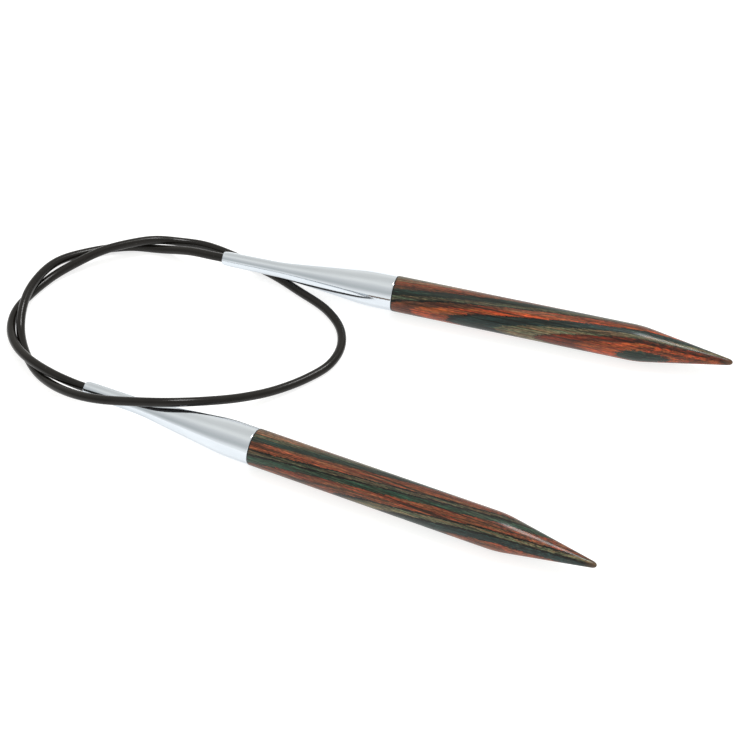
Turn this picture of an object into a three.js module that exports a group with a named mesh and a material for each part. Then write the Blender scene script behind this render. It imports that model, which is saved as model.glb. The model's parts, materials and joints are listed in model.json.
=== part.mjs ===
// Circular knitting needle: two wooden points, each in a plated ferrule, joined by one flexible cord.
// Millimetres, +Z up. The needles lie on the plane z = 0, and the origin is the middle of the box
// around the two of them, on that plane. +X runs from the ferrules towards the pointed ends.
import * as THREE from 'three';

// Driving dimensions.
const SHANK_DIAMETER = 9;
const NEEDLE_LENGTH = 129.3;
const TAPER_LENGTH = 22.8;
const TIP_RADIUS = 0.65;
const CORD_DIAMETER = 2.2;
const FERRULE_LENGTH = 45;
const COLLAR_LENGTH = 7;
const NECK_LENGTH = 15.6;
const NECK_DIAMETER = 3.9;
const TENON_DIAMETER = 6;
const TENON_LENGTH = 14.3;

// Clearances: across a face, and around a piece that sits in a bore.
const FACE_GAP = 0.3;
const BORE_GAP = 0.1;
const PRESS_GAP = 0.05;

// Small shapes on the needles: walls, rounded ends and chamfers.
const LIP_WALL = 0.25;
const NOSE_LENGTH = 4;
const NOSE_STEP = 0.1;
const NOSE_ROUND = 0.3;
const CONE_BLEND = 3;
const CHAMBER_WALL = 1.4;
const CHAMBER_RADIUS = 1.65;
const STOP_LENGTH = 4;
const CORD_PAST_STOP = 1;
const EDGE_CHAMFER = 0.15;
const SHOULDER_BLEND = 2.5;
const TIP_BLEND = 1;

// Where each needle lies: the centre of the ferrule's mouth, and the turn of the needle about +Z.
const NEEDLES = [
  { name: 'front', mouth: [-77.5, 4.1], yaw: -23.7 },
  { name: 'back', mouth: [-46.5, 46.9], yaw: -15.7 },
];

// The cord's centre line, from the front needle to the back one. It makes one and a half turns,
// passes over the front ferrule and under the back one, and crosses itself three times.
const CORD_ROUTE = [
  [-80.6, 5.5, 4.5], [-85.7, 8.3, 4.6], [-91.7, 13.3, 3.9], [-95.3, 17.9, 3.0],
  [-97.4, 22.5, 2.1], [-98.2, 27.7, 1.4], [-97.1, 33.1, 1.25], [-90.2, 42.8, 1.3],
  [-83.4, 47.5, 2.4], [-77.0, 50.5, 3.6], [-70.5, 52.7, 3.8], [-64.4, 54.2, 3.5],
  [-58.1, 55.1, 1.9], [-50.7, 54.1, 1.2], [-34.6, 44.6, 1.15], [-27.4, 38.6, 1.15],
  [-20.4, 32.2, 1.2], [-16.9, 25.9, 1.2], [-16.7, 19.8, 1.2], [-19.4, 14.2, 1.2],
  [-24.7, 9.9, 1.2], [-32.4, 5.3, 2.0], [-40.3, 1.2, 4.2], [-49.0, -2.5, 7.3],
  [-56.5, -4.0, 8.7], [-64.8, -3.7, 8.6], [-73.1, -2.2, 7.6], [-79.5, 0.7, 6.0],
  [-85.7, 5.9, 3.4], [-90.5, 11.9, 1.5], [-93.8, 18.3, 1.2], [-95.7, 25.5, 1.6],
  [-95.5, 31.9, 3.3], [-93.8, 38.8, 3.6], [-89.0, 47.1, 2.7], [-80.8, 52.2, 1.3],
  [-70.9, 54.0, 1.2], [-63.0, 53.0, 1.35], [-54.9, 49.7, 4.0], [-49.8, 47.8, 4.5],
];

// Fineness of the solids.
const TURNED_SIDES = 32;
const CORD_SIDES = 8;
const CORD_STEPS = 80;
const ARC_STEPS = 4;

// Sizes that follow from the driving dimensions. Lengths along a needle start at the mouth.
const SHANK_RADIUS = SHANK_DIAMETER / 2;
const CORD_RADIUS = CORD_DIAMETER / 2;
const NECK_RADIUS = NECK_DIAMETER / 2;
const TENON_RADIUS = TENON_DIAMETER / 2;
const AXIS_HEIGHT = SHANK_RADIUS * Math.cos(Math.PI / TURNED_SIDES);
const BORE_RADIUS = CORD_RADIUS + BORE_GAP;
const MOUTH_RADIUS = BORE_RADIUS + LIP_WALL;
const NOSE_RADIUS = NECK_RADIUS - NOSE_STEP;
const CHAMBER_START = NECK_LENGTH + CHAMBER_WALL;
const SOCKET_RADIUS = TENON_RADIUS + BORE_GAP;
const FERRULE_END = FERRULE_LENGTH - FACE_GAP / 2;
const SHOULDER = FERRULE_LENGTH + FACE_GAP / 2;
const TENON_END = SHOULDER - TENON_LENGTH;
const SOCKET_START = TENON_END - FACE_GAP;
const STOP_RADIUS = CHAMBER_RADIUS - BORE_GAP;
const STOP_START = CHAMBER_START + FACE_GAP;
const CORD_END = STOP_START + STOP_LENGTH + CORD_PAST_STOP;
const CORD_PIVOT = -2;

const materials = {
  cord: new THREE.MeshStandardMaterial({ color: 0x2c2826, roughness: 0.45, metalness: 0 }),
  plating: new THREE.MeshStandardMaterial({ color: 0xd6dade, roughness: 0.12, metalness: 1 }),
  brass: new THREE.MeshStandardMaterial({ color: 0xb08d4a, roughness: 0.35, metalness: 1 }),
  frontWood: new THREE.MeshStandardMaterial({ color: 0x8d5238, roughness: 0.4, metalness: 0 }),
  backWood: new THREE.MeshStandardMaterial({ color: 0x6f5642, roughness: 0.4, metalness: 0 }),
};

// A turned solid whose axis is local +X. The outline is a list of [distance along, radius], and it
// either starts and ends on the axis or is a closed ring. One flat of the solid faces straight down.
function turned(outline) {
  const points = outline.map(([along, radius]) => new THREE.Vector2(radius, along));
  const geometry = new THREE.LatheGeometry(points, TURNED_SIDES, Math.PI / TURNED_SIDES);
  geometry.rotateZ(-Math.PI / 2);
  return geometry;
}

// The points of a smooth bend from a to c that leaves and arrives along the lines through b.
function bend(a, b, c) {
  const curve = new THREE.QuadraticBezierCurve(
    new THREE.Vector2(...a),
    new THREE.Vector2(...b),
    new THREE.Vector2(...c),
  );
  return curve.getPoints(ARC_STEPS).map((point) => [point.x, point.y]);
}

// The point that lies a distance from b along the line from b to c.
function towards(b, c, distance) {
  const start = new THREE.Vector2(...b);
  const step = new THREE.Vector2(...c).sub(start).setLength(distance);
  return start.add(step).toArray();
}

// The plated ferrule: a rounded nose, a slim neck, a long cone and a straight collar outside;
// a bore for the cord, a chamber for the stop collar and a socket for the wooden tenon inside.
function ferruleOutline() {
  const coneStart = [NECK_LENGTH, NECK_RADIUS];
  const coneEnd = [FERRULE_LENGTH - COLLAR_LENGTH, SHANK_RADIUS];
  const noseEnd = [NOSE_LENGTH, NOSE_RADIUS];
  const collarEnd = [FERRULE_END - EDGE_CHAMFER, SHANK_RADIUS];
  return [
    [0, BORE_RADIUS],
    ...bend([0, MOUTH_RADIUS], [NOSE_ROUND, NOSE_RADIUS - NOSE_STEP], noseEnd),
    ...bend(towards(coneStart, noseEnd, CONE_BLEND), coneStart, towards(coneStart, coneEnd, CONE_BLEND)),
    ...bend(towards(coneEnd, coneStart, CONE_BLEND), coneEnd, towards(coneEnd, collarEnd, CONE_BLEND)),
    collarEnd,
    [FERRULE_END, SHANK_RADIUS - EDGE_CHAMFER],
    [FERRULE_END, SOCKET_RADIUS],
    [SOCKET_START, SOCKET_RADIUS],
    [SOCKET_START, CHAMBER_RADIUS],
    [CHAMBER_START, CHAMBER_RADIUS],
    [CHAMBER_START, BORE_RADIUS],
    [0, BORE_RADIUS],
  ];
}

// The wooden point: a tenon that is glued into the ferrule, a straight shank and a tapered tip.
function pointOutline() {
  const taperStart = [NEEDLE_LENGTH - TAPER_LENGTH, SHANK_RADIUS];
  const tip = [NEEDLE_LENGTH, TIP_RADIUS];
  return [
    [TENON_END, 0],
    [TENON_END, TENON_RADIUS - EDGE_CHAMFER],
    [TENON_END + EDGE_CHAMFER, TENON_RADIUS],
    [SHOULDER, TENON_RADIUS],
    [SHOULDER, SHANK_RADIUS - EDGE_CHAMFER],
    [SHOULDER + EDGE_CHAMFER, SHANK_RADIUS],
    ...bend([taperStart[0] - SHOULDER_BLEND, SHANK_RADIUS], taperStart,
      towards(taperStart, tip, SHOULDER_BLEND)),
    ...bend(towards(tip, taperStart, TIP_BLEND), tip, [NEEDLE_LENGTH, 0]),
  ];
}

// The end of the cord: straight inside the ferrule, and round-ended where the free cord bends away.
function cordEndOutline() {
  const roundEnd = [];
  for (let step = 0; step <= ARC_STEPS; step += 1) {
    const angle = (Math.PI / 2) * (step / ARC_STEPS);
    roundEnd.push([CORD_PIVOT - CORD_RADIUS * Math.cos(angle), CORD_RADIUS * Math.sin(angle)]);
  }
  return [...roundEnd, [CORD_END, CORD_RADIUS], [CORD_END, 0]];
}

// The stop collar pressed on the cord's end. It is too wide for the ferrule's bore.
function stopCollarOutline() {
  const inner = CORD_RADIUS + PRESS_GAP;
  const end = STOP_START + STOP_LENGTH;
  return [
    [STOP_START, inner],
    [STOP_START, STOP_RADIUS - EDGE_CHAMFER],
    [STOP_START + EDGE_CHAMFER, STOP_RADIUS],
    [end - EDGE_CHAMFER, STOP_RADIUS],
    [end, STOP_RADIUS - EDGE_CHAMFER],
    [end, inner],
    [STOP_START, inner],
  ];
}

function piece(name, geometry, material) {
  const mesh = new THREE.Mesh(geometry, material);
  mesh.name = name;
  return mesh;
}

// One needle with the end of the cord in it, lying on the plane and turned to its own direction.
function needle({ name, mouth, yaw }) {
  const group = new THREE.Group();
  group.add(
    piece(`${name}_ferrule`, turned(ferruleOutline()), materials.plating),
    piece(`${name}_point`, turned(pointOutline()), materials[`${name}Wood`]),
    piece(`${name}_cord_end`, turned(cordEndOutline()), materials.cord),
    piece(`${name}_stop_collar`, turned(stopCollarOutline()), materials.brass),
  );
  group.position.set(...mouth, AXIS_HEIGHT);
  group.rotation.z = THREE.MathUtils.degToRad(yaw);
  return group;
}

// The free stretch of cord: a many-sided section swept along the route.
function cord() {
  const section = new THREE.Shape();
  for (let side = 0; side < CORD_SIDES; side += 1) {
    const angle = (2 * Math.PI * side) / CORD_SIDES;
    const x = CORD_RADIUS * Math.cos(angle);
    const y = CORD_RADIUS * Math.sin(angle);
    if (side === 0) {
      section.moveTo(x, y);
    } else {
      section.lineTo(x, y);
    }
  }
  const route = CORD_ROUTE.map((point) => new THREE.Vector3(...point));
  const extrudePath = new THREE.CatmullRomCurve3(route, false, 'centripetal');
  const geometry = new THREE.ExtrudeGeometry(section, {
    steps: CORD_STEPS,
    bevelEnabled: false,
    extrudePath,
  });
  return piece('cord', geometry, materials.cord);
}

const circularNeedle = new THREE.Group();
circularNeedle.add(cord(), ...NEEDLES.map(needle));

export default circularNeedle;
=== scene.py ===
"""Circular knitting needle: two laminated wood points in plated ferrules, joined by one black cord.

Metres and +Z up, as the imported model. A piece that is turned is drawn in its needle's own space:
millimetres, local +X from the ferrule's mouth towards the tip, and the mouth at the origin.
"""
import json
import math
from collections import namedtuple

import bpy
from mathutils import Matrix, Vector


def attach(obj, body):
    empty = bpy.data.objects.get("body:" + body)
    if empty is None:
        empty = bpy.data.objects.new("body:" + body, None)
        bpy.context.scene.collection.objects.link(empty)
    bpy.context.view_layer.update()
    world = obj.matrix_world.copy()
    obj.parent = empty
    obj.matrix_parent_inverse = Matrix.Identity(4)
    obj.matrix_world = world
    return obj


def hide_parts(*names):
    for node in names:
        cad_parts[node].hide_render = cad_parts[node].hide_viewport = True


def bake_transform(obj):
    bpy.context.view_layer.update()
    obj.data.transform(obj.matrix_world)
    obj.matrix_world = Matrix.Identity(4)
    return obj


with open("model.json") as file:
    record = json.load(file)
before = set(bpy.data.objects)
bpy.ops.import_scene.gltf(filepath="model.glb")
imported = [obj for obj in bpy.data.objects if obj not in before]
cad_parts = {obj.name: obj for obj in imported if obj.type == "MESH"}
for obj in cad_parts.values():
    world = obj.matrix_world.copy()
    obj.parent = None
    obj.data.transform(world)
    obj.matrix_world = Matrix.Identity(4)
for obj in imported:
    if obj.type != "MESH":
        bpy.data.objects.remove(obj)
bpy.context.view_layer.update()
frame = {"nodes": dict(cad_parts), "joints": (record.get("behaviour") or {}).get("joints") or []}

MM = 0.001
SIDES = ("front", "back")

# The ferrule's and the point's outlines, in millimetres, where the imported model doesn't say.
LIP_RADIUS = 1.5
LIP_RISE = 0.12          # how much wider the lip gets behind its edge
LIP_STEP = 0.01          # keeps the end of the lip and the start of the nose apart
NOSE_TURN = 1.0          # how far from the mouth the nose turns straight
NOSE_LENGTH = 4.0
NOSE_RADIUS = 1.85
NECK_LENGTH = 15.6
NECK_RADIUS = 1.95
CONE_BLEND = 3.0
COLLAR_LENGTH = 7.0
TAPER_LENGTH = 22.8
TAPER_BLEND = 2.5
TIP_RADIUS = 0.65
TIP_BLEND = 1.3
TENON_RADIUS = 3.0
EDGE_ROUND = 0.22
RIM_ROUND = 0.35
BORE_CLEARANCE = 0.1
END_CLEARANCE = 3 * BORE_CLEARANCE
SHOULDER_GAP = 0.02      # between the wood's shoulder and the ferrule's rim
STOP_EDGE = 0.2          # rounding of the stop collar's edges
GROOVE_DEPTH = 0.4
GROOVE_HALF_WIDTH = 0.45
GROOVE_PLACES = (1 / 3, 2 / 3)

# How finely the turned pieces are cut.
TURNED_SIDES = 160
ARC_STEPS = 10
SHARP_ANGLE = math.radians(32)

# The cord's centre line, in millimetres, from the front needle to the back one.
CORD_ROUTE = [
    (-80.6, 5.5, 4.5), (-85.7, 8.3, 4.6), (-91.7, 13.3, 3.9), (-95.3, 17.9, 3.0),
    (-97.4, 22.5, 2.1), (-98.2, 27.7, 1.4), (-97.1, 33.1, 1.25), (-90.2, 42.8, 1.3),
    (-83.4, 47.5, 2.4), (-77.0, 50.5, 3.6), (-70.5, 52.7, 3.8), (-64.4, 54.2, 3.5),
    (-58.1, 55.1, 1.9), (-50.7, 54.1, 1.2), (-34.6, 44.6, 1.15), (-27.4, 38.6, 1.15),
    (-20.4, 32.2, 1.2), (-16.9, 25.9, 1.2), (-16.7, 19.8, 1.2), (-19.4, 14.2, 1.2),
    (-24.7, 9.9, 1.2), (-32.4, 5.3, 2.0), (-40.3, 1.2, 4.2), (-49.0, -2.5, 7.3),
    (-56.5, -4.0, 8.7), (-64.8, -3.7, 8.6), (-73.1, -2.2, 7.6), (-79.5, 0.7, 6.0),
    (-85.7, 5.9, 3.4), (-90.5, 11.9, 1.5), (-93.8, 18.3, 1.2), (-95.7, 25.5, 1.6),
    (-95.5, 31.9, 3.3), (-93.8, 38.8, 3.6), (-89.0, 47.1, 2.7), (-80.8, 52.2, 1.3),
    (-70.9, 54.0, 1.2), (-63.0, 53.0, 1.35), (-54.9, 49.7, 4.0), (-49.8, 47.8, 4.5),
]
# The route's points where the cord passes under itself: the seams between its lengths lie there.
FRONT_SEAM = 6
BACK_SEAM = 36
CORD_SIDES = 24
CORD_STEP = 0.5          # millimetres between rings
SMOOTH_PASSES = 6
INSIDE_STEPS = 5         # how many stretches its line has inside a ferrule

# Camera: the viewing angle, and the point on the floor that it looks at.
VIEW_ELEVATION = math.radians(49.28)
VIEW_DISTANCE = 507.4 * MM
VIEW_TARGET = Vector((-9.8, 13.8, 0.0)) * MM
LENS = 101.66
SENSOR = 36.0
CLIP_END = 10.0

# Floor, in metres.
FLOOR_SIZE = 6.0
FLOOR_DROP = 0.03 * MM
FLOOR_GLOW = 0.71

# Light tent: its brightness by how far a direction leans along SKY_AXIS, which is up and back. 0 is
# straight against the axis, and 1 is straight along it.
SKY_AXIS = (0.0, 0.6, 0.8)
SKY = [
    (0.28, (1.22, 1.22, 1.18)),
    (0.38, (1.00, 1.00, 0.98)),
    (0.46, (0.74, 0.74, 0.73)),
    (0.54, (0.63, 0.65, 0.63)),
    (0.62, (0.67, 0.68, 0.67)),
    (0.70, (0.75, 0.75, 0.73)),
    (0.78, (0.84, 0.84, 0.82)),
    (0.87, (1.03, 1.02, 0.97)),
    (0.92, (1.02, 1.01, 0.96)),
    (0.99, (0.85, 0.84, 0.80)),
]

# Lamps: the direction each shines from, its strength and spread, and whether it shows in the
# lacquer and the metal.
LAMPS = {
    "window": ((0.24, 0.23, 0.945), 1.4, math.radians(18), True),
    "fill": ((-0.3, -0.8, 0.7), 0.3, math.radians(60), False),
}

# Wood dyes, as linear colour.
DYES = {
    "rust": (0.147, 0.041, 0.018),
    "bright_rust": (0.225, 0.043, 0.011),
    "deep_rust": (0.100, 0.017, 0.006),
    "brown": (0.145, 0.074, 0.040),
    "dark_brown": (0.047, 0.021, 0.012),
    "tan": (0.097, 0.083, 0.048),
    "olive": (0.060, 0.055, 0.033),
    "teal": (0.011, 0.023, 0.018),
    "blue_teal": (0.011, 0.026, 0.025),
    "green": (0.018, 0.042, 0.027),
    "glue": (0.003, 0.003, 0.002),
}
WORN_TIP = (0.09, 0.055, 0.03)

# The other materials' colours, likewise. Where there are two, the colour runs from the first to the
# second as the material's noise rises between the two values beside them.
NICKEL = [(0.35, (0.61, 0.655, 0.705)), (0.65, (0.66, 0.705, 0.755))]
BRASS = [(0.3, (0.50, 0.36, 0.15)), (0.7, (0.66, 0.50, 0.24))]
CORD_BLACK = [(0.35, (0.0055, 0.0045, 0.0035)), (0.7, (0.0100, 0.0085, 0.0070))]
CORD_DUST = (0.06, 0.055, 0.05)
WHITE_CARD = [(0.3, (0.485, 0.485, 0.48)), (0.7, (0.50, 0.50, 0.495))]

# Darkening beside the ferrule and wear at the tip: how strong each is, and how far from the
# shoulder or the tip it is full and ends, in millimetres.
SHOULDER_DARK = 0.8
SHOULDER_DARK_REACH = (0.05, 0.4)
WEAR = 0.75
WEAR_REACH = (0.4, 3.0)

# The wood's layers of noise. along, across: how often it changes in one millimetre of the grain and
# across it. detail: how many finer layers it has. used: the span of the noise that counts. gives:
# what that span becomes, which is millimetres, a factor of brightness or a share of another colour.
# Relief and tone are used whole. A layer's place in this table also sets its seed.
Layer = namedtuple("Layer", "along across detail used gives", defaults=(None, None))
GRAIN = {
    "wave": Layer(0.022, 0.10, 1.0, (0.25, 0.75), (-0.22, 0.22)),
    "ripple": Layer(0.09, 0.5, 2.0, (0.2, 0.8), (-0.13, 0.13)),
    "fibre": Layer(0.45, 3.2, 3.0, (0.25, 0.75), (-0.12, 0.12)),
    "streaks": Layer(0.10, 2.6, 3.0, (0.34, 0.66), (0.60, 1.40)),
    "hairs": Layer(0.8, 5.5, 3.0, (0.32, 0.68), (0.40, 1.60)),
    "bleached": Layer(0.12, 4.5, 3.0, (0.58, 0.70), (0.0, 0.45)),
    "pores": Layer(0.5, 9.0, 2.0, (0.60, 0.68), (0.0, 0.7)),
    "relief": Layer(0.25, 5.0, 3.0),
    "veins": Layer(0.028, 3.4, 2.0, (0.54, 0.61), (0.0, 0.75)),
    "tone": Layer(0.08, 3.0, 2.0),
    "fuzz": Layer(1.5, 9.0, 2.0, (0.25, 0.75), (-0.11, 0.11)),
    "growth": Layer(0.04, 3.2, 3.0, (0.34, 0.66), (0.50, 1.50)),
}
# What the tone multiplies the dye by, from warmer to cooler.
TONES = [(0.36, (1.30, 0.85, 0.72)), (0.64, (0.78, 1.18, 1.10))]

# The veneers in each point, from its local +Y side: dye and thickness in millimetres.
# stands: how far the veneers' normal is turned up from the horizontal. first: the level of the
# first veneer's outer face. drift: how far they climb for each millimetre along the point. bow: how
# much more they climb by BOW_LENGTH along it. seed: sets one point's grain apart from the other's.
BOW_LENGTH = 60.0
LAMINATES = {
    "front": {
        "stands": math.radians(22.0),
        "drift": 0.085,
        "bow": 0.05,
        "first": 4.6,
        "seed": 3.1,
        "veneers": [
            ("brown", 2.85), ("olive", 0.75), ("teal", 1.1), ("dark_brown", 0.2), ("rust", 1.75),
            ("glue", 0.3), ("olive", 0.65), ("glue", 0.35), ("green", 0.95), ("glue", 0.1),
            ("rust", 1.15), ("dark_brown", 0.15), ("rust", 0.6), ("glue", 0.25), ("tan", 0.75),
            ("glue", 0.3), ("blue_teal", 0.8), ("glue", 0.15), ("rust", 1.5), ("glue", 0.2),
            ("olive", 1.2), ("teal", 2.0),
        ],
    },
    "back": {
        "stands": math.radians(1.0),
        "drift": 0.117,
        "bow": -0.6,
        "first": 4.6,
        "seed": 7.7,
        "veneers": [
            ("olive", 2.9), ("tan", 0.5), ("brown", 1.2), ("rust", 1.85), ("dark_brown", 0.15),
            ("teal", 1.15), ("glue", 0.1), ("olive", 0.85), ("glue", 0.2), ("rust", 0.8),
            ("bright_rust", 1.0), ("glue", 0.2), ("blue_teal", 1.2), ("tan", 1.05), ("glue", 0.1),
            ("deep_rust", 0.85), ("bright_rust", 1.0), ("teal", 1.1), ("olive", 1.0), ("rust", 2.0),
        ],
    },
}


# ---------------------------------------------------------------- the frame's own measurements

def measure(node, origin, axis):
    """A node's nearest and farthest reach along an axis, and its radius, in millimetres."""
    along = []
    radii = []
    for vertex in frame["nodes"][node].data.vertices:
        offset = vertex.co - origin
        distance = offset.dot(axis)
        along.append(distance / MM)
        radii.append((offset - axis * distance).length / MM)
    return min(along), max(along), max(radii)


def read_needle(side):
    """Where a needle lies and how long its parts are, from its joints and nodes."""
    joints = {joint["name"]: joint for joint in frame["joints"]}
    mouth = Vector(joints[side + "_needle_turn"]["pos_m"])
    axis = Vector(joints[side + "_needle_turn"]["axis"]).normalized()
    pivot = Vector(joints[side + "_cord_bend"]["pos_m"])
    up = Vector((0, 0, 1))
    place = Matrix((axis, up.cross(axis), up)).transposed().to_4x4()
    place.translation = mouth
    tenon_end, tip, shank_radius = measure(side + "_point", mouth, axis)
    collar_start, collar_end, collar_radius = measure(side + "_stop_collar", mouth, axis)
    return {
        "side": side,
        "mouth": mouth,
        "axis": axis,
        "pivot": pivot,
        "place": place,
        "shank_radius": shank_radius,
        "tenon_end": tenon_end,
        "tip": tip,
        "ferrule_end": measure(side + "_ferrule", mouth, axis)[1],
        "cord_end": measure(side + "_cord_end", mouth, axis)[1],
        "cord_radius": measure(side + "_cord_end", mouth, axis)[2],
        "collar": (collar_start, collar_end, collar_radius),
    }


NEEDLES = {side: read_needle(side) for side in SIDES}


# ---------------------------------------------------------------- shapes

def bend(a, b, c):
    """A smooth bend from a to c that leaves and arrives along the lines through b."""
    points = []
    for step in range(ARC_STEPS + 1):
        t = step / ARC_STEPS
        u, v, w = (1 - t) ** 2, 2 * t * (1 - t), t * t
        points.append(tuple(u * p + v * q + w * r for p, q, r in zip(a, b, c)))
    return points


def towards(b, c, distance):
    """The point that lies a distance from b along the line from b to c."""
    step = Vector(c) - Vector(b)
    return tuple(Vector(b) + step.normalized() * distance)


def turned(name, outline, place):
    """A turned solid around local +X. The outline runs from axis to axis, or is a closed ring."""
    sides = TURNED_SIDES
    ring = outline[0] == outline[-1]
    profile = outline[:-1] if ring else outline
    vertices = []
    rows = []
    for along, radius in profile:
        if radius == 0:
            rows.append([len(vertices)] * sides)
            vertices.append((along * MM, 0, 0))
            continue
        rows.append(list(range(len(vertices), len(vertices) + sides)))
        for side in range(sides):
            angle = 2 * math.pi * side / sides
            across, up = radius * MM * math.cos(angle), radius * MM * math.sin(angle)
            vertices.append((along * MM, across, up))
    faces = []
    pairs = list(zip(rows, rows[1:]))
    if ring:
        pairs.append((rows[-1], rows[0]))
    for low, high in pairs:
        for side in range(sides):
            after = (side + 1) % sides
            corners = [low[side], low[after], high[after], high[side]]
            faces.append(list(dict.fromkeys(corners)))
    piece = mesh_object(name, vertices, faces)
    piece.matrix_world = place
    return piece


def mesh_object(name, vertices, faces):
    """A smooth-shaded mesh object, with sharp edges where it is angular. Faces point outward."""
    mesh = bpy.data.meshes.new(name)
    mesh.from_pydata(vertices, [], faces)
    mesh.validate()
    mesh.shade_smooth()
    mesh.set_sharp_from_angle(angle=SHARP_ANGLE)
    piece = bpy.data.objects.new(name, mesh)
    bpy.context.scene.collection.objects.link(piece)
    return piece


def spline(points, step):
    """A centripetal Catmull-Rom curve through the points, as points about a step apart."""
    knots = [2 * points[0] - points[1], *points, 2 * points[-1] - points[-2]]
    line = []
    for p0, p1, p2, p3 in zip(knots, knots[1:], knots[2:], knots[3:]):
        t1 = math.sqrt((p1 - p0).length)
        t2 = t1 + math.sqrt((p2 - p1).length)
        t3 = t2 + math.sqrt((p3 - p2).length)
        count = max(1, round((p2 - p1).length / step))
        for index in range(count):
            t = t1 + (t2 - t1) * index / count
            a1 = p0.lerp(p1, t / t1)
            a2 = p1.lerp(p2, (t - t1) / (t2 - t1))
            a3 = p2.lerp(p3, (t - t2) / (t3 - t2))
            b1 = a1.lerp(a2, t / t2)
            b2 = a2.lerp(a3, (t - t1) / (t3 - t1))
            line.append(b1.lerp(b2, (t - t1) / (t2 - t1)))
    line.append(points[-1].copy())
    return line


def smoothed(line, passes):
    """The same line with each inner point moved towards the middle of its neighbours."""
    for _ in range(passes):
        inner = [p.lerp((a + b) / 2, 0.5) for a, p, b in zip(line, line[1:], line[2:])]
        line = [line[0], *inner, line[-1]]
    return line


def tube(name, line, radius):
    """A closed tube along a line of points. Its section turns no more than the line does."""
    sides = CORD_SIDES
    tangents = [(b - a).normalized() for a, b in zip([line[0], *line[:-1]], [*line[1:], line[-1]])]
    across = Vector((0, 0, 1)).cross(tangents[0]).normalized()
    vertices = []
    for point, tangent in zip(line, tangents):
        across = (across - tangent * across.dot(tangent)).normalized()
        upright = tangent.cross(across)
        for side in range(sides):
            angle = 2 * math.pi * side / sides
            vertices.append(point + radius * (math.cos(angle) * across + math.sin(angle) * upright))
    faces = [list(reversed(range(sides)))]
    for ring in range(len(line) - 1):
        for side in range(sides):
            low = ring * sides + side
            after = ring * sides + (side + 1) % sides
            faces.append([low, after, after + sides, low + sides])
    faces.append(list(range(len(vertices) - sides, len(vertices))))
    return mesh_object(name, vertices, faces)


# ---------------------------------------------------------------- node helpers

def new_material(name):
    """A node material: itself, its tree and its shader."""
    material = bpy.data.materials.new(name)
    material.use_nodes = True
    return material, material.node_tree, material.node_tree.nodes["Principled BSDF"]


def math_node(tree, operation, first, second):
    """A Math node. Each input is a number or another node's output."""
    node = tree.nodes.new("ShaderNodeMath")
    node.operation = operation
    for socket, value in zip(node.inputs, (first, second)):
        if isinstance(value, (int, float)):
            socket.default_value = value
        else:
            tree.links.new(value, socket)
    return node.outputs[0]


def object_space(tree, scale):
    """The piece's own coordinates, stretched by a scale for each axis."""
    coordinates = tree.nodes.new("ShaderNodeTexCoord")
    mapping = tree.nodes.new("ShaderNodeMapping")
    mapping.inputs["Scale"].default_value = scale
    tree.links.new(coordinates.outputs["Object"], mapping.inputs["Vector"])
    return mapping.outputs[0]


def noise_at(tree, place, detail):
    """Noise from 0 to 1 at a place. detail is how many finer layers it has."""
    node = tree.nodes.new("ShaderNodeTexNoise")
    node.inputs["Scale"].default_value = 1.0
    node.inputs["Detail"].default_value = detail
    tree.links.new(place, node.inputs["Vector"])
    return node.outputs[0]


def noise(tree, scale, detail, seed):
    """Noise from 0 to 1. scale is how often it changes along each axis, in one millimetre."""
    place = object_space(tree, [value / MM for value in scale])
    place.node.inputs["Location"].default_value = (seed, seed, seed)
    return noise_at(tree, place, detail)


def ranged(tree, value, used, gives):
    """A value, brought from the used span of it to the span it gives, and held within that."""
    node = tree.nodes.new("ShaderNodeMapRange")
    for socket, number in zip(list(node.inputs)[1:5], (*used, *gives)):
        socket.default_value = number
    tree.links.new(value, node.inputs[0])
    return node.outputs[0]


def mixed(tree, factor, first, second, blend_type="MIX"):
    """A colour mix. Each colour is a triple or another node's output."""
    node = tree.nodes.new("ShaderNodeMix")
    node.data_type = "RGBA"
    node.blend_type = blend_type
    sockets = [socket for socket in node.inputs if socket.type == "RGBA"]
    if isinstance(factor, float):
        node.inputs[0].default_value = factor
    else:
        tree.links.new(factor, node.inputs[0])
    for socket, value in zip(sockets, (first, second)):
        if isinstance(value, tuple):
            socket.default_value = (*value, 1.0)
        else:
            tree.links.new(value, socket)
    return [socket for socket in node.outputs if socket.type == "RGBA"][0]


def ramp(tree, value, stops, interpolation="LINEAR"):
    """A colour ramp with given stops: a list of (place, colour)."""
    node = tree.nodes.new("ShaderNodeValToRGB")
    node.color_ramp.interpolation = interpolation
    elements = node.color_ramp.elements
    while len(elements) < len(stops):
        elements.new(1.0)
    for element, (place, colour) in zip(elements, stops):
        element.position = place
        element.color = (*colour, 1.0)
    tree.links.new(value, node.inputs[0])
    return node.outputs[0]


def roughen(tree, shader, value, used, gives):
    """Sets the surface's roughness by a value from 0 to 1. used, gives: as for ranged."""
    tree.links.new(ranged(tree, value, used, gives), shader.inputs["Roughness"])


def bump(tree, shader, height, depth, strength):
    """Raises the surface by a height from 0 to 1, times a depth in millimetres."""
    node = tree.nodes.new("ShaderNodeBump")
    node.inputs["Strength"].default_value = strength
    node.inputs["Distance"].default_value = depth * MM
    tree.links.new(height, node.inputs["Height"])
    tree.links.new(node.outputs[0], shader.inputs["Normal"])


# ---------------------------------------------------------------- materials

def veneer_level(tree, laminate, place, along):
    """How high in the stack of veneers a point of the wood lies, in millimetres."""
    level = math_node(tree, "MULTIPLY", place.outputs[1], math.cos(laminate["stands"]))
    rise = math_node(tree, "MULTIPLY", place.outputs[2], math.sin(laminate["stands"]))
    level = math_node(tree, "ADD", level, rise)
    climb = math_node(tree, "MULTIPLY", along, laminate["drift"])
    level = math_node(tree, "SUBTRACT", level, climb)
    share = math_node(tree, "DIVIDE", along, BOW_LENGTH)
    bow = math_node(tree, "MULTIPLY", math_node(tree, "MULTIPLY", share, share), laminate["bow"])
    return math_node(tree, "SUBTRACT", level, bow)


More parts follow.
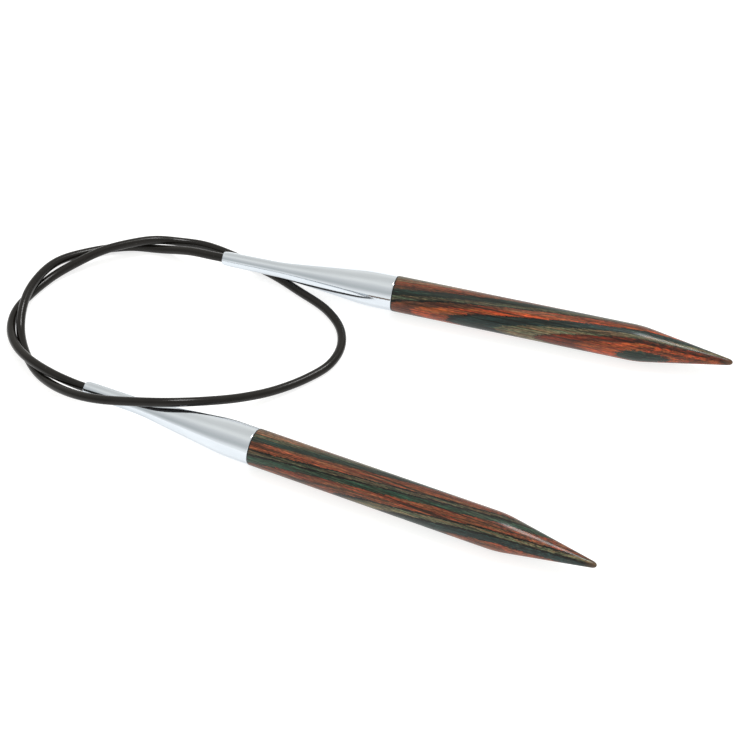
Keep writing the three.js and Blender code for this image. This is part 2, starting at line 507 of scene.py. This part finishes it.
def grain_noise(tree, name, seed):
    """One of the wood's layers of noise, from 0 to 1."""
    layer = GRAIN[name]
    scale = (layer.along, layer.across, layer.across)
    return noise(tree, scale, layer.detail, seed + list(GRAIN).index(name))


def given(tree, name, value):
    """What a layer of the wood gives, where its noise has a value."""
    return ranged(tree, value, GRAIN[name].used, GRAIN[name].gives)


def grain_layer(tree, name, seed):
    """A layer of the wood, as what it gives."""
    return given(tree, name, grain_noise(tree, name, seed))


def ragged_edges(tree, level, seed):
    """The same level, pushed about so that the veneers' edges wave, ripple and fray."""
    for name in ("wave", "ripple", "fibre", "fuzz"):
        level = math_node(tree, "ADD", level, grain_layer(tree, name, seed))
    return level


def veneer_dye(tree, laminate, level):
    """The dye of the veneer at a level: one step of a colour ramp for each veneer."""
    total = sum(thickness for _, thickness in laminate["veneers"])
    depth = math_node(tree, "DIVIDE", math_node(tree, "SUBTRACT", laminate["first"], level), total)
    stops = []
    reached = 0.0
    for dye, thickness in laminate["veneers"]:
        stops.append((reached / total, DYES[dye]))
        reached += thickness
    return ramp(tree, depth, stops, "CONSTANT")


def growth_layers(tree, along, level, seed):
    """Noise from 0 to 1 that lies along the veneers: lines on a band, and arcs on a patch."""
    growth = GRAIN["growth"]
    place = tree.nodes.new("ShaderNodeCombineXYZ")
    tree.links.new(math_node(tree, "MULTIPLY", along, growth.along), place.inputs[0])
    tree.links.new(math_node(tree, "MULTIPLY", level, growth.across), place.inputs[1])
    place.inputs[2].default_value = seed
    return noise_at(tree, place.outputs[0], growth.detail)


def grain(tree, colour, growth, seed):
    """The same colour with streaks, hairs, uneven tone, bleached flecks, pores and veins."""
    streaks = grain_layer(tree, "streaks", seed)
    hairs = grain_layer(tree, "hairs", seed)
    shade = math_node(tree, "MULTIPLY", streaks, hairs)
    shade = math_node(tree, "MULTIPLY", shade, given(tree, "growth", growth))
    tinted = tree.nodes.new("ShaderNodeVectorMath")
    tinted.operation = "SCALE"
    tree.links.new(colour, tinted.inputs[0])
    tree.links.new(shade, tinted.inputs["Scale"])
    tone = ramp(tree, grain_noise(tree, "tone", seed), TONES)
    colour = mixed(tree, 1.0, tinted.outputs[0], tone, "MULTIPLY")
    for name, dye in (("bleached", "tan"), ("pores", "glue"), ("veins", "glue")):
        colour = mixed(tree, grain_layer(tree, name, seed), colour, DYES[dye])
    return colour


def wood_material(side, shoulder, tip):
    """Dyed birch veneers glued face to face and turned, so that each shows as a long band."""
    laminate = LAMINATES[side]
    seed = laminate["seed"]
    material, tree, shader = new_material(side + "_laminated_wood")
    place = tree.nodes.new("ShaderNodeSeparateXYZ")
    tree.links.new(object_space(tree, (1 / MM, 1 / MM, 1 / MM)), place.inputs[0])
    along = math_node(tree, "SUBTRACT", place.outputs[0], shoulder)

    level = ragged_edges(tree, veneer_level(tree, laminate, place, along), seed)
    growth = growth_layers(tree, along, level, seed)
    colour = grain(tree, veneer_dye(tree, laminate, level), growth, seed)
    # The wood turns darker towards the ferrule: darkest right at the shoulder, fading out a little
    # way along.
    shoulder_dark = ranged(tree, along, SHOULDER_DARK_REACH, (SHOULDER_DARK, 0.0))
    colour = mixed(tree, shoulder_dark, colour, DYES["glue"])
    wear = ranged(tree, place.outputs[0], (tip - WEAR_REACH[1], tip - WEAR_REACH[0]), (0.0, WEAR))
    colour = mixed(tree, wear, colour, WORN_TIP)
    tree.links.new(colour, shader.inputs["Base Color"])

    fibre = grain_noise(tree, "fibre", seed)
    roughen(tree, shader, fibre, used=(0.2, 0.8), gives=(0.34, 0.56))
    shader.inputs["Specular IOR Level"].default_value = 0.12
    shader.inputs["Coat Weight"].default_value = 0.38
    shader.inputs["Coat Roughness"].default_value = 0.21
    bump(tree, shader, grain_noise(tree, "relief", seed), depth=0.03, strength=0.5)
    return material


def nickel_material():
    """Bright nickel plating: polished along its length, with faint orange peel and smears."""
    material, tree, shader = new_material("polished_nickel")
    smears = noise(tree, (0.05, 0.35, 0.35), detail=3.0, seed=1.7)
    colour = ramp(tree, smears, NICKEL)
    tree.links.new(colour, shader.inputs["Base Color"])
    shader.inputs["Metallic"].default_value = 1.0
    polish = noise(tree, (0.12, 6.0, 6.0), detail=3.0, seed=4.2)
    roughen(tree, shader, polish, used=(0.3, 0.7), gives=(0.07, 0.16))
    peel = noise(tree, (0.08, 1.1, 1.1), detail=2.0, seed=5.5)
    bump(tree, shader, peel, depth=0.02, strength=0.25)
    return material


def cord_material():
    """Black nylon-sheathed cord with a satin skin: fine drawn texture, faint wear and dust."""
    material, tree, shader = new_material("black_cord")
    wear = noise(tree, (0.12, 0.12, 0.12), detail=3.0, seed=2.0)
    colour = ramp(tree, wear, CORD_BLACK)
    specks = noise(tree, (2.2, 2.2, 2.2), detail=2.0, seed=6.0)
    dust = ranged(tree, specks, used=(0.66, 0.76), gives=(0.0, 0.35))
    colour = mixed(tree, dust, colour, CORD_DUST)
    tree.links.new(colour, shader.inputs["Base Color"])
    roughen(tree, shader, wear, used=(0.3, 0.7), gives=(0.17, 0.26))
    shader.inputs["Specular IOR Level"].default_value = 0.25
    texture = noise(tree, (1.6, 1.6, 1.6), detail=3.0, seed=3.0)
    bump(tree, shader, texture, depth=0.02, strength=0.3)
    return material


def brass_material():
    """Turned brass, with the tool's fine rings around it."""
    material, tree, shader = new_material("turned_brass")
    rings = noise(tree, (9.0, 0.05, 0.05), detail=2.0, seed=8.0)
    colour = ramp(tree, rings, BRASS)
    tree.links.new(colour, shader.inputs["Base Color"])
    shader.inputs["Metallic"].default_value = 1.0
    roughen(tree, shader, rings, used=(0.3, 0.7), gives=(0.22, 0.38))
    bump(tree, shader, rings, depth=0.02, strength=0.4)
    return material


def floor_material():
    """Matt card that glows a little, as an evenly lit white sweep does."""
    material, tree, shader = new_material("white_card")
    fibres = noise(tree, (0.02, 0.02, 0.02), detail=4.0, seed=9.0)
    colour = ramp(tree, fibres, WHITE_CARD)
    tree.links.new(colour, shader.inputs["Base Color"])
    shader.inputs["Roughness"].default_value = 0.8
    shader.inputs["Specular IOR Level"].default_value = 0.2
    shader.inputs["Emission Color"].default_value = (1.0, 1.0, 1.0, 1.0)
    shader.inputs["Emission Strength"].default_value = FLOOR_GLOW
    return material


# ---------------------------------------------------------------- the pieces of a needle

def make_ferrule(needle, material):
    """The plated ferrule: rounded nose, slim neck, long cone, straight collar; bored through."""
    side = needle["side"]
    shank = needle["shank_radius"]
    end = needle["ferrule_end"]
    bore = needle["cord_radius"] + BORE_CLEARANCE
    cone_start = (NECK_LENGTH, NECK_RADIUS)
    cone_end = (end - COLLAR_LENGTH, shank)
    nose_end = (NOSE_LENGTH, NOSE_RADIUS)
    rim = (end, shank)
    lip_end = (EDGE_ROUND, LIP_RADIUS + LIP_RISE)
    nose_start = (EDGE_ROUND, LIP_RADIUS + LIP_RISE + LIP_STEP)
    chamber = needle["collar"][2] + BORE_CLEARANCE
    chamber_start = needle["collar"][0] - END_CLEARANCE
    socket = TENON_RADIUS + BORE_CLEARANCE
    socket_start = needle["tenon_end"] - END_CLEARANCE
    outline = [
        (EDGE_ROUND, bore),
        *bend((0, bore + EDGE_ROUND / 2), (0, LIP_RADIUS), lip_end),
        *bend(nose_start, (NOSE_TURN, NOSE_RADIUS), nose_end),
        *bend(towards(cone_start, nose_end, CONE_BLEND), cone_start,
              towards(cone_start, cone_end, CONE_BLEND)),
        *bend(towards(cone_end, cone_start, CONE_BLEND), cone_end,
              towards(cone_end, rim, CONE_BLEND)),
        *bend((end - RIM_ROUND, shank), rim, (end, shank - RIM_ROUND)),
        (end, socket),
        (socket_start, socket),
        (socket_start, chamber),
        (chamber_start, chamber),
        (chamber_start, bore),
        (EDGE_ROUND, bore),
    ]
    piece = turned(side + "_ferrule_shell", outline, needle["place"])
    piece.data.materials.append(material)
    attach(piece, side + "_needle")
    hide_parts(side + "_ferrule")


def make_point(needle):
    """The wooden point: tenon in the ferrule, straight shank, long taper and a rounded tip."""
    side = needle["side"]
    shank = needle["shank_radius"]
    shoulder = needle["ferrule_end"] + SHOULDER_GAP
    taper_start = (needle["tip"] - TAPER_LENGTH, shank)
    tip = (needle["tip"], TIP_RADIUS)
    outline = [
        (needle["tenon_end"], 0),
        (needle["tenon_end"], TENON_RADIUS - EDGE_ROUND),
        (needle["tenon_end"] + EDGE_ROUND, TENON_RADIUS),
        (shoulder, TENON_RADIUS),
        *bend((shoulder, shank - EDGE_ROUND), (shoulder, shank), (shoulder + EDGE_ROUND, shank)),
        *bend(towards(taper_start, (0, shank), TAPER_BLEND), taper_start,
              towards(taper_start, tip, TAPER_BLEND)),
        *bend(towards(tip, taper_start, TIP_BLEND), tip, (needle["tip"], 0)),
    ]
    piece = turned(side + "_wooden_point", outline, needle["place"])
    piece.data.materials.append(wood_material(side, shoulder, needle["tip"]))
    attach(piece, side + "_needle")
    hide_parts(side + "_point")


def make_stop_collar(needle, material):
    """The brass stop collar on the cord's end, with two grooves pressed into it."""
    side = needle["side"]
    start, end, radius = needle["collar"]
    inner = needle["cord_radius"]
    outline = [(start, inner)]
    outline += bend((start, radius - STOP_EDGE), (start, radius), (start + STOP_EDGE, radius))
    for share in GROOVE_PLACES:
        middle = start + (end - start) * share
        outline += bend((middle - GROOVE_HALF_WIDTH, radius), (middle, radius - GROOVE_DEPTH),
                        (middle + GROOVE_HALF_WIDTH, radius))
    outline += bend((end - STOP_EDGE, radius), (end, radius), (end, radius - STOP_EDGE))
    outline += [(end, inner), (start, inner)]
    piece = turned(side + "_brass_collar", outline, needle["place"])
    piece.data.materials.append(material)
    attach(piece, side + "_cord_end")
    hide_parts(side + "_stop_collar")
    return piece


# ---------------------------------------------------------------- the cord

def inside(needle):
    """The cord's line inside a ferrule, from the cord's end out to where it is free to bend."""
    end = needle["cord_end"]
    free = (needle["pivot"] - needle["mouth"]).dot(needle["axis"]) / MM
    reach = [end + (free - end) * step / INSIDE_STEPS for step in range(INSIDE_STEPS + 1)]
    return [needle["mouth"] + needle["axis"] * distance * MM for distance in reach]


def nearest(line, place):
    """Which of a line's points lies nearest to a place."""
    return min(range(len(line)), key=lambda index: (line[index] - place).length)


def make_cord(material):
    """One cord, in three lengths that meet where it passes under itself."""
    route = [Vector(point) * MM for point in CORD_ROUTE]
    front = inside(NEEDLES["front"])
    back = list(reversed(inside(NEEDLES["back"])))
    line = smoothed(spline([*front, *route, *back], CORD_STEP * MM), SMOOTH_PASSES)
    radius = NEEDLES["front"]["cord_radius"] * MM
    first = nearest(line, route[FRONT_SEAM])
    last = nearest(line, route[BACK_SEAM])
    lengths = {
        "front": line[:first + 1],
        "middle": line[first:last + 1],
        "back": list(reversed(line[last:])),
    }
    for part, path in lengths.items():
        piece = tube("cord_" + part, path, radius)
        piece.data.materials.append(material)
        if part == "middle":
            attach(piece, "cord")
            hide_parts("cord")
        else:
            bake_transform(piece)
            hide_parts(part + "_cord_end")


# ---------------------------------------------------------------- stage, light and camera

def make_floor():
    """A flat square just under the object, with its face up."""
    half = FLOOR_SIZE / 2
    square = ((-half, -half), (half, -half), (half, half), (-half, half))
    corners = [(x, y, -FLOOR_DROP) for x, y in square]
    floor = mesh_object("floor", corners, [[0, 1, 2, 3]])
    floor.data.materials.append(floor_material())


def make_world():
    """A light tent: grey around the object, and brighter above it and low in front of it."""
    world = bpy.data.worlds.new("light_tent")
    bpy.context.scene.world = world
    world.use_nodes = True
    tree = world.node_tree
    background = tree.nodes["Background"]
    coordinates = tree.nodes.new("ShaderNodeTexCoord")
    facing = tree.nodes.new("ShaderNodeVectorMath")
    facing.operation = "DOT_PRODUCT"
    facing.inputs[1].default_value = SKY_AXIS
    tree.links.new(coordinates.outputs["Generated"], facing.inputs[0])
    lean = ranged(tree, facing.outputs["Value"], used=(-1.0, 1.0), gives=(0.0, 1.0))
    sky = ramp(tree, lean, SKY)
    tree.links.new(sky, background.inputs["Color"])
    background.inputs["Strength"].default_value = 1.0


def make_sun(name, direction, strength, spread, seen):
    """A soft light from a direction. seen: whether it shows in gloss and in metal."""
    light = bpy.data.lights.new(name, "SUN")
    light.energy = strength
    light.angle = spread
    lamp = bpy.data.objects.new(name, light)
    lamp.rotation_euler = Vector(direction).to_track_quat("Z", "Y").to_euler()
    lamp.visible_glossy = seen
    bpy.context.scene.collection.objects.link(lamp)


def make_camera():
    """The camera stands back from its target, level from side to side, and looks down at it."""
    data = bpy.data.cameras.new("camera")
    data.lens = LENS
    data.sensor_width = SENSOR
    data.clip_end = CLIP_END
    camera = bpy.data.objects.new("camera", data)
    back_off = Vector((0, -math.cos(VIEW_ELEVATION), math.sin(VIEW_ELEVATION)))
    camera.location = VIEW_TARGET + back_off * VIEW_DISTANCE
    camera.rotation_euler = (math.pi / 2 - VIEW_ELEVATION, 0, 0)
    bpy.context.scene.collection.objects.link(camera)
    bpy.context.scene.camera = camera


# ---------------------------------------------------------------- the whole object

nickel = nickel_material()
brass = brass_material()
for needle in NEEDLES.values():
    make_ferrule(needle, nickel)
    make_point(needle)
    make_stop_collar(needle, brass)
make_cord(cord_material())

make_floor()
make_world()
for name, lamp in LAMPS.items():
    make_sun(name, *lamp)
make_camera()
bpy.context.scene.view_settings.view_transform = "Standard"
